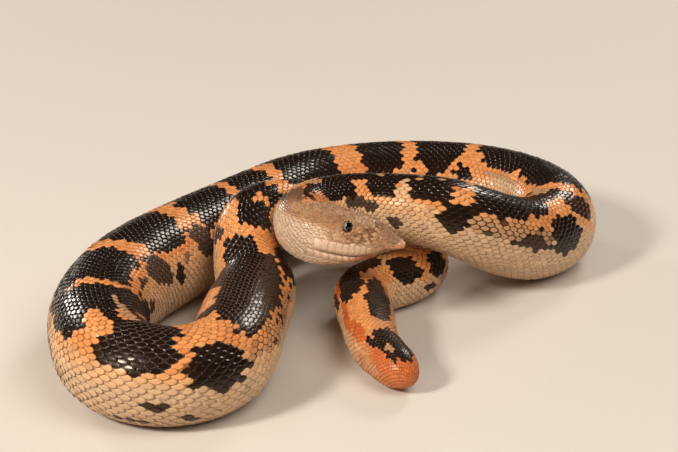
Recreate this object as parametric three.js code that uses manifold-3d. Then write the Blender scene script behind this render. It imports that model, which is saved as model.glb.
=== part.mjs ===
// Coiled sand boa: a still, life-size figure of one snake lying in a loose coil, its chin held over its own tail.
// Millimetres, +Z up. The floor is z = 0 and the origin is the middle of the base. The snout points along +X and
// a little towards -Y. Every length of the body is a solid of its own, parted from the next by a thin cut.

import * as THREE from "three";
import { mergeVertices } from "three/addons/utils/BufferGeometryUtils.js";
import Module from "manifold-3d";

// The course of the backbone from snout to tail tip. Each row steers about 14 mm of body:
// x, y, height of the body's centre over the floor, and the body's radius there.
const COURSE = [
  // head and the tight turn of the neck
  [15.3, -16.6, 24.2, 7.4], [4.2, -14.4, 24.2, 7.6], [-7.4, -12.3, 24.3, 7.3], [-10.0, 2.2, 24.6, 6.7],
  // back over the tail and down to the floor on the right
  [1.8, 9.6, 24.5, 6.6], [13.2, 7.9, 23.3, 8.0], [26.2, 4.4, 22.9, 9.1], [37.7, 9.0, 15.6, 10.0],
  [48.1, 18.2, 9.6, 10.4],
  // the right-hand bend
  [56.1, 29.2, 10.4, 10.8], [52.4, 44.6, 10.3, 10.8], [41.5, 54.3, 10.4, 10.9],
  // the long arc at the back
  [27.9, 58.0, 10.5, 11.0], [13.8, 57.4, 10.6, 11.1], [0.4, 53.7, 10.7, 11.2], [-11.7, 46.0, 10.8, 11.3],
  [-20.3, 34.7, 10.9, 11.4], [-28.4, 23.9, 11.0, 11.5], [-36.9, 12.0, 11.2, 11.7], [-44.2, -0.3, 11.5, 12.1],
  // the left-hand loop
  [-50.4, -11.0, 11.4, 11.9], [-53.9, -26.6, 11.2, 11.8], [-53.0, -38.6, 11.1, 11.6], [-48.5, -55.2, 11.0, 11.3],
  [-34.3, -59.9, 10.1, 10.8], [-22.2, -50.4, 10.3, 10.5], [-22.0, -27.2, 9.7, 10.2], [-17.9, -13.0, 9.9, 9.9],
  // up and over the shoulder of the back arc, then down behind the neck
  [-21.3, -5.8, 13.7, 8.6], [-22.9, 4.8, 22.6, 6.7], [-12.4, 16.8, 20.6, 7.0], [-3.0, 26.6, 14.0, 6.8],
  [9.4, 27.8, 8.6, 6.9],
  // under the forebody, round beneath the snout and out to the tail tip
  [23.1, 16.0, 6.4, 6.9], [17.2, 2.6, 6.6, 6.9], [2.9, -3.7, 6.6, 6.8], [7.6, -20.2, 6.4, 6.8],
  [6.7, -32.3, 5.8, 6.0], [16.4, -48.2, 4.5, 4.7],
];

const CUT = 0.3; // gap between neighbouring solids
const RING_STEP = 3.6; // spacing of the body's cross-sections
const RING_SIDES = 24; // facets round a cross-section
const BELLY_POWER = 2.2; // above 2 the underside is squarer than a circle
const TAIL_ROUNDING = 8; // length over which the blunt tail tip closes
const TIP = 0.02; // what is left off the very end of the tail, so that its last ring is not a single point

// Where the body is divided, measured along it from the snout.
const NECK_START = 23;
const TRUNK_START = 50;
const TRUNK_LENGTHS = 10;
const VENT = 478; // the tail begins behind the vent

// The head, measured back from the snout tip: half width, half height, and how far the section's middle drops below
// the head's axis, which makes the snout a low wedge.
const HEAD_SECTIONS = [
  { back: 0.0, half: 1.4, tall: 0.6, drop: 1.1 },
  { back: 0.7, half: 2.3, tall: 0.95, drop: 1.0 },
  { back: 2.35, half: 3.3, tall: 1.85, drop: 0.7 },
  { back: 4.7, half: 4.3, tall: 3.3, drop: 0.35 },
  { back: 7.1, half: 5.1, tall: 4.75, drop: 0.1 },
  { back: 10.6, half: 5.9, tall: 5.6, drop: 0 },
  { back: 13.4, half: 6.4, tall: 6.2, drop: 0 },
  { back: 16.0, half: 6.9, tall: 6.7, drop: 0 },
  { back: 20.0, half: 7.4, tall: 7.3, drop: 0 },
  { back: 23.0, half: 7.3, tall: 7.1, drop: 0 },
];
const HEAD_STEP = 1.4; // spacing of the head's cross-sections
const HEAD_POWER = 2.5; // the head's section is boxier than the body's
const HEAD_BLEND = 10; // length over which the neck takes over from the head's own sizes

// The closed mouth, in side view: distance back from the snout tip and height about the head's axis.
const MOUTH_LINE = [
  [-2, -1.9], [0.7, -1.75], [2.8, -1.85], [5, -2.15], [7.3, -2.6], [10.7, -2.95], [12.9, -2.75], [16.3, -1.8],
  [18.8, -0.9],
];

const EYE_RADIUS = 1.2;
const EYE_BACK = 12.5; // from the snout tip to the middle of the eye
const EYE_RISE = 4.3; // above the head's axis
const EYE_PROUD = 0.3; // how far the eyeball stands out of the cheek

const SNAKE_COLOURS = { head: "#c39a72", neck: "#c7a07a", trunk: "#d9853f", tail: "#cf6f35" };
const SKIN_ROUGHNESS = 0.5;
const EYE_COLOUR = "#2a211b";
const EYE_ROUGHNESS = 0.15;

const wasm = await Module();
wasm.setup();

// ---- the backbone ----

// A row's value, carried straight on past either end of the course.
function courseValue(row, column) {
  const last = COURSE.length - 1;
  if (row < 0) return 2 * COURSE[0][column] - COURSE[1][column];
  if (row > last) return 2 * COURSE[last][column] - COURSE[last - 1][column];
  return COURSE[row][column];
}

// Uniform cubic B-spline through the course: [x, y, z, radius] at row number u.
function courseAt(u) {
  const row = Math.min(Math.floor(u), COURSE.length - 2);
  const t = u - row;
  const weights = [(1 - t) ** 3, 3 * t ** 3 - 6 * t ** 2 + 4, -3 * t ** 3 + 3 * t ** 2 + 3 * t + 1, t ** 3];
  return [0, 1, 2, 3].map((column) =>
    weights.reduce((sum, weight, k) => sum + (weight * courseValue(row - 1 + k, column)) / 6, 0));
}

const placeAt = (u) => new THREE.Vector3(...courseAt(THREE.MathUtils.clamp(u, 0, COURSE.length - 1)));

// Distance along the body at evenly spaced row numbers.
const SAMPLES_PER_ROW = 24;
const distances = [0];
for (let i = 1; i <= (COURSE.length - 1) * SAMPLES_PER_ROW; i++) {
  const step = placeAt(i / SAMPLES_PER_ROW).distanceTo(placeAt((i - 1) / SAMPLES_PER_ROW));
  distances.push(distances[i - 1] + step);
}
const BODY_LENGTH = distances[distances.length - 1];

// The place, directions and radius of the body at a distance along it from the snout.
function station(along) {
  const next = Math.max(1, distances.findIndex((distance) => distance >= Math.min(along, BODY_LENGTH)));
  const part = (along - distances[next - 1]) / (distances[next] - distances[next - 1]);
  const u = (next - 1 + part) / SAMPLES_PER_ROW;
  const forward = placeAt(u + 0.02).sub(placeAt(u - 0.02)).normalize();
  const side = forward.clone().cross(new THREE.Vector3(0, 0, 1)).normalize();
  const up = side.clone().cross(forward);
  return { centre: placeAt(u), radius: courseAt(u)[3], forward, side, up };
}

// ---- cross-sections ----

function headSize(back, size) {
  const next = Math.max(1, HEAD_SECTIONS.findIndex((section) => section.back >= Math.min(back, NECK_START)));
  const [a, b] = [HEAD_SECTIONS[next - 1], HEAD_SECTIONS[next]];
  return THREE.MathUtils.mapLinear(Math.min(back, NECK_START), a.back, b.back, a[size], b[size]);
}

// Half width and half height, the drop of its middle, and how squarely the section is rounded above and below.
function girth(along, radius) {
  const fromTip = BODY_LENGTH - along;
  const closing = fromTip < TAIL_ROUNDING ? Math.sqrt(1 - (1 - fromTip / TAIL_ROUNDING) ** 2) : 1;
  const headness = 1 - THREE.MathUtils.smoothstep(along, NECK_START, NECK_START + HEAD_BLEND);
  const blend = (size) => THREE.MathUtils.lerp(radius * closing, headSize(along, size), headness);
  return {
    half: blend("half"),
    tall: blend("tall"),
    drop: headSize(along, "drop"),
    upperPower: THREE.MathUtils.lerp(2, HEAD_POWER, headness),
    lowerPower: THREE.MathUtils.lerp(BELLY_POWER, HEAD_POWER, headness),
  };
}

const rounded = (value, power) => Math.sign(value) * Math.abs(value) ** (2 / power);

// One ring of points, moved forward off its place by the shift. Where the body lies on the floor its belly is
// pressed flat at z = 0.
function ring(along, shift) {
  const { centre, radius, forward, side, up } = station(along);
  const { half, tall, drop, upperPower, lowerPower } = girth(along, radius);
  const points = [];
  for (let k = 0; k < RING_SIDES; k++) {
    const angle = (2 * Math.PI * k) / RING_SIDES;
    const power = Math.cos(angle) > 0 ? upperPower : lowerPower;
    const across = half * rounded(Math.sin(angle), power);
    const rise = tall * rounded(Math.cos(angle), power) - drop;
    const point = centre.clone().addScaledVector(forward, shift);
    point.addScaledVector(side, across).addScaledVector(up, rise);
    point.z = Math.max(point.z, 0);
    points.push(point);
  }
  return points;
}

// ---- solids ----

// A closed skin over a run of rings, with a fan over each end. An end with a neighbour stops half a cut short.
function loft(start, end, step) {
  const count = Math.round((end - start) / step);
  const vertices = [];
  const faces = [];
  for (let i = 0; i <= count; i++) {
    const along = start + ((end - start) * i) / count;
    const cutAtStart = i === 0 && start > 0;
    const cutAtEnd = i === count && end < BODY_LENGTH - TIP;
    vertices.push(...ring(along, (Number(cutAtStart) - Number(cutAtEnd)) * CUT / 2));
  }
  const ends = [0, count].map((i) => {
    const points = vertices.slice(i * RING_SIDES, (i + 1) * RING_SIDES);
    return points.reduce((sum, p) => sum.add(p), new THREE.Vector3()).divideScalar(RING_SIDES);
  });
  vertices.push(...ends);
  const [head, tail] = [vertices.length - 2, vertices.length - 1];
  for (let k = 0; k < RING_SIDES; k++) {
    const next = (k + 1) % RING_SIDES;
    for (let i = 0; i < count; i++) {
      const [a, b] = [i * RING_SIDES + k, i * RING_SIDES + next];
      faces.push(a, b, b + RING_SIDES, a, b + RING_SIDES, a + RING_SIDES);
    }
    faces.push(head, next, k);
    faces.push(tail, count * RING_SIDES + k, count * RING_SIDES + next);
  }
  const geometry = new THREE.BufferGeometry().setFromPoints(vertices);
  geometry.setIndex(faces);
  return geometry;
}

function toSolid(geometry) {
  const bare = geometry.clone();
  bare.deleteAttribute("normal");
  bare.deleteAttribute("uv");
  const merged = mergeVertices(bare, 1e-4);
  return new wasm.Manifold(new wasm.Mesh({
    numProp: 3,
    vertProperties: merged.attributes.position.array,
    triVerts: new Uint32Array(merged.index.array),
  }));
}

function toGeometry(solid) {
  const mesh = solid.getMesh();
  const geometry = new THREE.BufferGeometry();
  geometry.setAttribute("position", new THREE.BufferAttribute(mesh.vertProperties, 3));
  geometry.setIndex(new THREE.BufferAttribute(mesh.triVerts, 1));
  return geometry;
}

// The head's own axes: back from the snout tip, up, and out to the snake's left.
const snout = station(0).centre;
const headBack = station(EYE_BACK).centre.sub(snout).normalize();
const headLeft = headBack.clone().cross(new THREE.Vector3(0, 0, 1)).normalize();
const headUp = headLeft.clone().cross(headBack);
const headFrame = new THREE.Matrix4().makeBasis(headBack, headUp, headLeft).setPosition(snout);

// A block that fills the side view below the mouth line, or below that line raised by the cut.
function belowMouth(raise) {
  const line = new THREE.SplineCurve(MOUTH_LINE.map(([back, rise]) => new THREE.Vector2(back, rise)));
  const corner = MOUTH_LINE[MOUTH_LINE.length - 1][0];
  const floor = -20;
  const reach = 30;
  const outline = new THREE.Shape(line.getPoints(24).map((p) => new THREE.Vector2(p.x, p.y + raise)));
  outline.lineTo(corner + raise, floor);
  outline.lineTo(MOUTH_LINE[0][0], floor);
  const block = new THREE.ExtrudeGeometry(outline, { depth: reach, bevelEnabled: false });
  return toSolid(block.translate(0, 0, -reach / 2).applyMatrix4(headFrame));
}

// The eyeball's centre on the left (1) or the right (-1): inside the cheek, with only a shallow dome standing out.
function eyeCentre(leftward) {
  const { radius } = station(EYE_BACK);
  const { half, tall, upperPower } = girth(EYE_BACK, radius);
  const cheek = half * (1 - (EYE_RISE / tall) ** upperPower) ** (1 / upperPower);
  return new THREE.Vector3(EYE_BACK, EYE_RISE, leftward * (cheek + EYE_PROUD - EYE_RADIUS)).applyMatrix4(headFrame);
}

function ball(radius, centre) {
  return new THREE.SphereGeometry(radius, 14, 8).translate(centre.x, centre.y, centre.z);
}

const eyes = { eye_left: eyeCentre(1), eye_right: eyeCentre(-1) };
const skull = toSolid(loft(0, NECK_START, HEAD_STEP));
const sockets = Object.values(eyes).map((centre) => toSolid(ball(EYE_RADIUS + CUT / 2, centre)));
const cranium = sockets.reduce((solid, socket) => solid.subtract(socket), skull.subtract(belowMouth(CUT)));
const lowerJaw = skull.intersect(belowMouth(0));

// ---- the figure ----

const coil = new THREE.Group();

function addNode(name, geometry, color, roughness) {
  const material = new THREE.MeshStandardMaterial({ color, roughness, metalness: 0 });
  const mesh = new THREE.Mesh(geometry, material);
  mesh.name = name;
  coil.add(mesh);
}

addNode("head", toGeometry(cranium), SNAKE_COLOURS.head, SKIN_ROUGHNESS);
addNode("lower_jaw", toGeometry(lowerJaw), SNAKE_COLOURS.head, SKIN_ROUGHNESS);
for (const [name, centre] of Object.entries(eyes)) addNode(name, ball(EYE_RADIUS, centre), EYE_COLOUR, EYE_ROUGHNESS);

function addLength(name, start, end, color) {
  addNode(name, loft(start, end, RING_STEP), color, SKIN_ROUGHNESS);
}

addLength("neck", NECK_START, TRUNK_START, SNAKE_COLOURS.neck);
const trunkLength = (VENT - TRUNK_START) / TRUNK_LENGTHS;
for (let i = 0; i < TRUNK_LENGTHS; i++) {
  const start = TRUNK_START + i * trunkLength;
  addLength(`trunk_${String(i + 1).padStart(2, "0")}`, start, start + trunkLength, SNAKE_COLOURS.trunk);
}
addLength("tail", VENT, BODY_LENGTH - TIP, SNAKE_COLOURS.tail);

export default coil;
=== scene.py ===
"""A still, life-size sand boa in a loose coil: one skin, overlapping scales, head shields and eyes."""

import math

import bpy
import numpy as np
from bpy.props import FloatProperty, FloatVectorProperty, IntProperty, PointerProperty
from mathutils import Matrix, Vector


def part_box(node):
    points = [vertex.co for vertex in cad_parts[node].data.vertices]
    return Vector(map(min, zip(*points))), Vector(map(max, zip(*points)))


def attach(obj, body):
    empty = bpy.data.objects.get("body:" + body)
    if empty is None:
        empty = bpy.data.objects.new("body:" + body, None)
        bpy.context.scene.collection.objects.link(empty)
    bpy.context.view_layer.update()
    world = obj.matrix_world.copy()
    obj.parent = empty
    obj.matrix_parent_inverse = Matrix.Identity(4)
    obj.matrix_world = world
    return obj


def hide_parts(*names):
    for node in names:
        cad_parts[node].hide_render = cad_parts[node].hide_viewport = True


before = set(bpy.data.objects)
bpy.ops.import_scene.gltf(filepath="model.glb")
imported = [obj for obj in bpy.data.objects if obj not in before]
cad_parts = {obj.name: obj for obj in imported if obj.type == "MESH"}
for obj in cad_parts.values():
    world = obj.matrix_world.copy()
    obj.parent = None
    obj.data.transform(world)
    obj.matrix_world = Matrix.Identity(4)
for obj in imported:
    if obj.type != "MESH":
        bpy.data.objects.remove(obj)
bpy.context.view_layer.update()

bl_info = {
    "name": "Coiled sand boa",
    "version": (1, 0, 0),
    "blender": (4, 5, 0),
    "location": "3D View > Sidebar > Boa",
    "description": "Builds the skin, scales, head shields, eyes and stage of a coiled sand boa",
    "category": "Add Mesh",
}

MM = 0.001

# ---- the body's course and girth, in millimetres, the same as the solids' ----

# From snout to tail tip: x, y, height of the body's centre over the floor, and its radius there.
COURSE = np.array([
    (15.3, -16.6, 24.2, 7.4), (4.2, -14.4, 24.2, 7.6), (-7.4, -12.3, 24.3, 7.3), (-10.0, 2.2, 24.6, 6.7),
    (1.8, 9.6, 24.5, 6.6), (13.2, 7.9, 23.3, 8.0), (26.2, 4.4, 22.9, 9.1), (37.7, 9.0, 15.6, 10.0),
    (48.1, 18.2, 9.6, 10.4), (56.1, 29.2, 10.4, 10.8), (52.4, 44.6, 10.3, 10.8), (41.5, 54.3, 10.4, 10.9),
    (27.9, 58.0, 10.5, 11.0), (13.8, 57.4, 10.6, 11.1), (0.4, 53.7, 10.7, 11.2), (-11.7, 46.0, 10.8, 11.3),
    (-20.3, 34.7, 10.9, 11.4), (-28.4, 23.9, 11.0, 11.5), (-36.9, 12.0, 11.2, 11.7),
    (-44.2, -0.3, 11.5, 12.1), (-50.4, -11.0, 11.4, 11.9), (-53.9, -26.6, 11.2, 11.8),
    (-53.0, -38.6, 11.1, 11.6), (-48.5, -55.2, 11.0, 11.3), (-34.3, -59.9, 10.1, 10.8),
    (-22.2, -50.4, 10.3, 10.5), (-22.0, -27.2, 9.7, 10.2), (-17.9, -13.0, 9.9, 9.9),
    (-21.3, -5.8, 13.7, 8.6), (-22.9, 4.8, 22.6, 6.7), (-12.4, 16.8, 20.6, 7.0), (-3.0, 26.6, 14.0, 6.8),
    (9.4, 27.8, 8.6, 6.9), (23.1, 16.0, 6.4, 6.9), (17.2, 2.6, 6.6, 6.9), (2.9, -3.7, 6.6, 6.8),
    (7.6, -20.2, 6.4, 6.8), (6.7, -32.3, 5.8, 6.0), (16.4, -48.2, 4.5, 4.7),
])
ROWS = len(COURSE)
BELLY_POWER = 2.2
HEAD_POWER = 2.5
HEAD_BLEND = 10.0
NECK_START = 23.0
TAIL_ROUNDING = 8.0

# The head: distance back from the snout tip, half width, half height, and how far the section's middle drops
# below the head's axis, which makes the snout a low wedge.
HEAD_SECTIONS = np.array([
    (0.0, 1.4, 0.6, 1.1), (0.7, 2.3, 0.95, 1.0), (2.35, 3.3, 1.85, 0.7), (4.7, 4.3, 3.3, 0.35),
    (7.1, 5.1, 4.75, 0.1), (10.6, 5.9, 5.6, 0), (13.4, 6.4, 6.2, 0), (16.0, 6.9, 6.7, 0),
    (20.0, 7.4, 7.3, 0), (23.0, 7.3, 7.1, 0),
])
# The closed mouth in side view: distance back, and height over the head's axis.
MOUTH_LINE = np.array([
    (-2, -1.9), (0.7, -1.75), (2.8, -1.85), (5, -2.15), (7.3, -2.6), (10.7, -2.95), (12.9, -2.75),
    (16.3, -1.8), (18.8, -0.9),
])
# The middles of the eyes and of the nostrils, again by distance back and height over the axis.
EYE_BACK = 12.5
EYE_RISE = 4.3
EYE_RADIUS = 1.2
NOSTRIL = (5.4, 1.9)

COAT_DEPTH = 0.35  # the skin lies this far inside the solids, and the scales fill the rest
FLOOR_GAP = 0.02  # least height over the floor of a point laid on the body

EXTENDED = np.vstack([2 * COURSE[0] - COURSE[1], COURSE, 2 * COURSE[-1] - COURSE[-2]])


def course_at(u):
    """Uniform cubic B-spline through the course at row number u: x, y, z, radius."""
    u = np.clip(np.asarray(u, float), 0, ROWS - 1)
    row = np.minimum(np.floor(u).astype(int), ROWS - 2)
    t = (u - row)[..., None]
    weights = [(1 - t) ** 3, 3 * t**3 - 6 * t**2 + 4, -3 * t**3 + 3 * t**2 + 3 * t + 1, t**3]
    return sum(w * EXTENDED[row + k] for k, w in enumerate(weights)) / 6


# Distance along the body from the snout, tabled against row number.
STEPS_PER_ROW = 48
ROW_NUMBERS = np.linspace(0, ROWS - 1, (ROWS - 1) * STEPS_PER_ROW + 1)
STEP_LENGTHS = np.linalg.norm(np.diff(course_at(ROW_NUMBERS)[:, :3], axis=0), axis=1)
DISTANCES = np.concatenate([[0], np.cumsum(STEP_LENGTHS)])
LENGTH = DISTANCES[-1]
SLOPE_STEP = 0.02  # rows each way, where the course's direction is read


def smooth(x, low, high):
    """0 below low, 1 above high, and a smooth rise between."""
    t = np.clip((np.asarray(x, float) - low) / (high - low), 0, 1)
    return t * t * (3 - 2 * t)


def hill(*offsets):
    """1 where every offset is 0, falling smoothly to nearly 0 where one of them passes 2."""
    return np.exp(-sum(offset**2 for offset in offsets))


def rounded(value, power):
    """A sine or cosine bent to draw a squarer oval, the more so the further the power is over 2."""
    return np.sign(value) * np.abs(value) ** (2 / power)


def station(s):
    """Centre, radius, and the forward, side and up directions at a distance from the snout."""
    u = np.interp(s, DISTANCES, ROW_NUMBERS)
    place = course_at(u)
    forward = course_at(u + SLOPE_STEP)[..., :3] - course_at(u - SLOPE_STEP)[..., :3]
    forward /= np.linalg.norm(forward, axis=-1, keepdims=True)
    side = np.cross(forward, [0, 0, 1.0])
    side /= np.linalg.norm(side, axis=-1, keepdims=True)
    return place[..., :3], place[..., 3], forward, side, np.cross(side, forward)


def girth(s, inset=0.0):
    """Half width, half height, and how square the section is above and below."""
    radius = course_at(np.interp(s, DISTANCES, ROW_NUMBERS))[..., 3] - inset
    from_tip = np.clip((LENGTH - s - inset) / (TAIL_ROUNDING - inset), 0, 1)
    closing = np.sqrt(1 - (1 - from_tip) ** 2)
    head = 1 - smooth(s, NECK_START, NECK_START + HEAD_BLEND)
    half = radius * closing * (1 - head) + (np.interp(s, *HEAD_SECTIONS.T[:2]) - inset) * head
    tall = radius * closing * (1 - head) + (np.interp(s, *HEAD_SECTIONS.T[:3:2]) - inset) * head
    return half, tall, 2 + (HEAD_POWER - 2) * head, BELLY_POWER + (HEAD_POWER - BELLY_POWER) * head


def drop(s):
    """How far the middle of the head's section lies below the head's axis."""
    return np.interp(s, *HEAD_SECTIONS.T[::3])


def section(s, a, inset=0.0):
    """Offsets across and up from the body's centre, at a degrees from the crest, left side positive."""
    a = np.radians(a)
    half, tall, upper, lower = girth(s, inset)
    power = np.where(np.cos(a) > 0, upper, lower)
    return half * rounded(np.sin(a), power), tall * rounded(np.cos(a), power) - drop(s)


def mouth(back):
    """Height of the closed mouth over the head's axis."""
    return np.interp(back, *MOUTH_LINE.T)


def relief(s, a):
    """How far the head's skin stands out, in millimetres: lips, eye sockets, brows, nostrils and cheeks."""
    _, rise = section(s, a)
    flank = smooth(np.abs(np.sin(np.radians(a))), 0.2, 0.5)
    on_head = 1 - smooth(s, 18.0, 23.0)
    # The groove of the closed mouth, and the swell of the lip over it.
    lip = rise - mouth(s)
    bump = -0.42 * hill(lip / 0.3) * (1 - smooth(s, 16.5, 19.5)) * smooth(s, -0.3, 1.2)
    bump += 0.14 * hill((lip - 1.3) / 0.9) * flank
    # The snout overhangs the front of the lower jaw.
    bump -= 0.75 * smooth(-lip, 0.0, 0.7) * (1 - smooth(s, 5, 13))
    # The eye's socket and its rim, the brow, and the hollow in front of the eye.
    eye = np.hypot(s - EYE_BACK, rise - EYE_RISE)
    bump += flank * (0.2 * hill((eye - 1.4) / 0.5) - 0.9 * (1 - smooth(eye, 0.7, 1.1)))
    brow = rise - np.interp(s, [2.5, 7.0, 12.0], [1.0, 3.9, 5.3])
    bump += 0.16 * hill(brow / 0.5) * smooth(s, 2, 5) * (1 - smooth(s, 12, 16))
    bump -= 0.22 * hill((s - 8.6) / 2.2, (rise - 2.2) / 1.0) * flank
    # The nostril and its rim, and the cheek.
    nostril = np.hypot(s - NOSTRIL[0], (rise - NOSTRIL[1]) * 1.3)
    bump += flank * (0.12 * hill((nostril - 0.6) / 0.25) - 0.45 * hill(nostril / 0.3))
    bump += 0.25 * hill((s - 19) / 3.5, (rise + 0.5) / 2.6) * flank
    return bump * on_head


def on_body(s, a, height=0.0):
    """The point at that height over the skin. Where the body lies on the floor its belly is pressed flat."""
    s, a = np.broadcast_arrays(np.asarray(s, float), np.asarray(a, float))
    inset = COAT_DEPTH - height - relief(s, a)
    centre, _, _, side, up = station(s)
    across, rise = section(s, a, inset)
    point = centre + across[..., None] * side + rise[..., None] * up
    point[..., 2] = np.maximum(point[..., 2], np.clip(inset, FLOOR_GAP, COAT_DEPTH))
    return point


def directions(s, a):
    """Directions along the body and out of it, and how much the body's bend stretches lengths there."""
    step, turn = 0.15, 1.5
    along = on_body(s + step, a) - on_body(s - step, a)
    stretch = np.linalg.norm(along, axis=-1) / (2 * step)
    around = on_body(s, a + turn) - on_body(s, a - turn)
    out = np.cross(around, along)
    out /= np.maximum(np.linalg.norm(out, axis=-1, keepdims=True), 1e-9)
    along /= np.maximum(np.linalg.norm(along, axis=-1, keepdims=True), 1e-9)
    return along, out, stretch


# Distance round the body from the crest, tabled for each millimetre along it and for angles ARC_STEP apart.
ARC_STEP = 2
ARC_ANGLES = np.linspace(0, 180, 180 // ARC_STEP + 1)
ARC_PLACES = np.arange(0, LENGTH + 1, 1.0)
ACROSS, RISE = section(np.minimum(ARC_PLACES, LENGTH - 0.5)[:, None], ARC_ANGLES[None, :])
ARCS = np.pad(np.cumsum(np.hypot(np.diff(ACROSS), np.diff(RISE)), axis=1), ((0, 0), (1, 0)))


def arc_row(s):
    """Distances round from the crest at ARC_ANGLES, for one place along the body."""
    k = int(min(s, len(ARCS) - 2))
    return ARCS[k] + (ARCS[k + 1] - ARCS[k]) * min(s - k, 1.0)


def arc_at(s, a):
    """Distance round from the crest, left side positive."""
    row = np.clip(s, 0, len(ARCS) - 1.001)
    column = np.clip(np.abs(a) / ARC_STEP, 0, len(ARC_ANGLES) - 1.001)
    i, j = row.astype(int), column.astype(int)
    u, v = row - i, column - j
    low = ARCS[i, j] * (1 - v) + ARCS[i, j + 1] * v
    high = ARCS[i + 1, j] * (1 - v) + ARCS[i + 1, j + 1] * v
    return np.sign(a) * (low * (1 - u) + high * u)


# The unwrap: the body slit along its belly and cut into three lengths, laid one over the other.
STRIPS = 3
STRIP_HEIGHT = 78.0
UNWRAP_EDGE = 1.0
UNWRAP_SIDE = STRIPS * STRIP_HEIGHT + 2 * UNWRAP_EDGE
PATCH = 0.003  # side of each plate's own patch, as a share of the unwrap's side


def strip_of(s):
    """The strip that a place along the body falls in."""
    return np.minimum((s / LENGTH * STRIPS).astype(int), STRIPS - 1)


def unwrap(s, arc, strip=None):
    """Place on the unit square. A face keeps the strip that it starts in."""
    strip = strip_of(s) if strip is None else strip
    u = (s - strip * LENGTH / STRIPS + 2 * UNWRAP_EDGE) / UNWRAP_SIDE
    v = (arc + STRIP_HEIGHT / 2 + strip * STRIP_HEIGHT + UNWRAP_EDGE) / UNWRAP_SIDE
    return np.stack([u, v], axis=-1)


# ---- colours ----


def linear(code):
    """sRGB hex to linear light."""
    values = [int(code[i : i + 2], 16) / 255 for i in (1, 3, 5)]
    return tuple(v / 12.92 if v <= 0.04045 else ((v + 0.055) / 1.055) ** 2.4 for v in values)


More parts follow.
